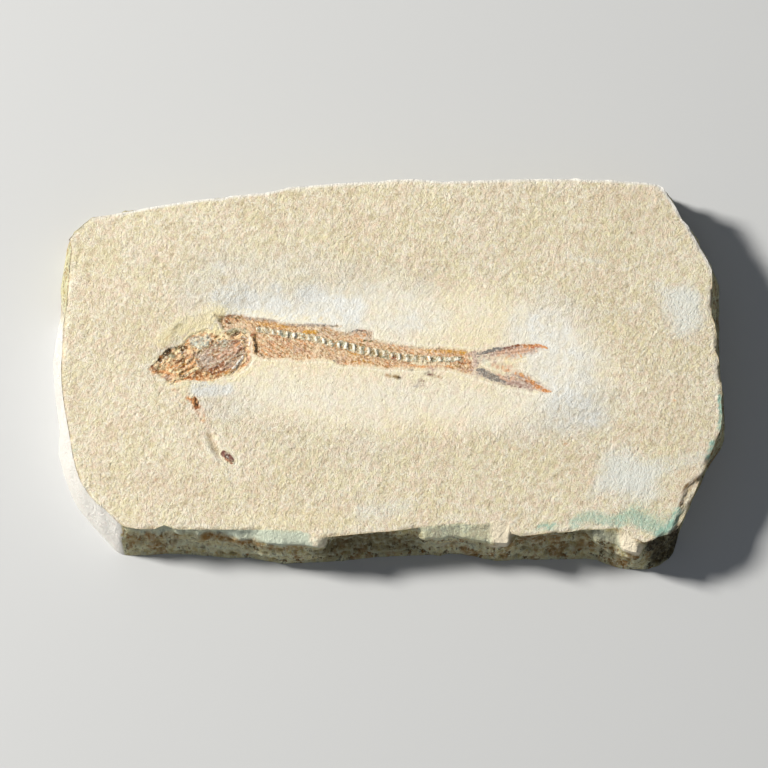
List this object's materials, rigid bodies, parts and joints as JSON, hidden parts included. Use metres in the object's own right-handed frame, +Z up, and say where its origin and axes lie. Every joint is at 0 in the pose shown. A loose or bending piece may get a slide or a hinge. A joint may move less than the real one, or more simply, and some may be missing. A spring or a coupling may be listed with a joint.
{
  "type": "fossil fish on a limestone slab",
  "caption": "Loose slab of pale limestone with broken edges and a small pressed fish skeleton in low relief on its top face.",
  "frame": {"origin": "middle of the slab's flat underside", "axes": "+X along the slab from the fish's head to its tail, +Y to the fish's back, +Z up out of the fossil face"},
  "size_m": [0.0978, 0.0572, 0.0098],
  "materials": {
    "limestone": "matt, finely granular cream limestone with a few green and pale stains",
    "head_bone": "brown and grey-green fossil bone, slightly satin",
    "gill_plate": "mauve-grey fossil bone with orange streaks",
    "dark_bone": "dark brown fossil bone",
    "flank_film": "pink-brown pressed film with fine ribs",
    "pale_bone": "pale cream vertebrae with darker hollows",
    "fin_film": "slate, mauve and orange fin rays, matt",
    "crumb": "dark red-brown crumb"
  },
  "bodies": {
    "root": {"limestone_slab": "limestone", "skull": "head_bone", "gill_cover": "gill_plate", "shoulder_bone": "dark_bone", "trunk": "flank_film", "backbone": "pale_bone", "dorsal_fin": "fin_film", "tail_fin": "fin_film", "bone_scrap_upper": "crumb", "bone_scrap_lower": "crumb"}
  },
  "joints": []
}
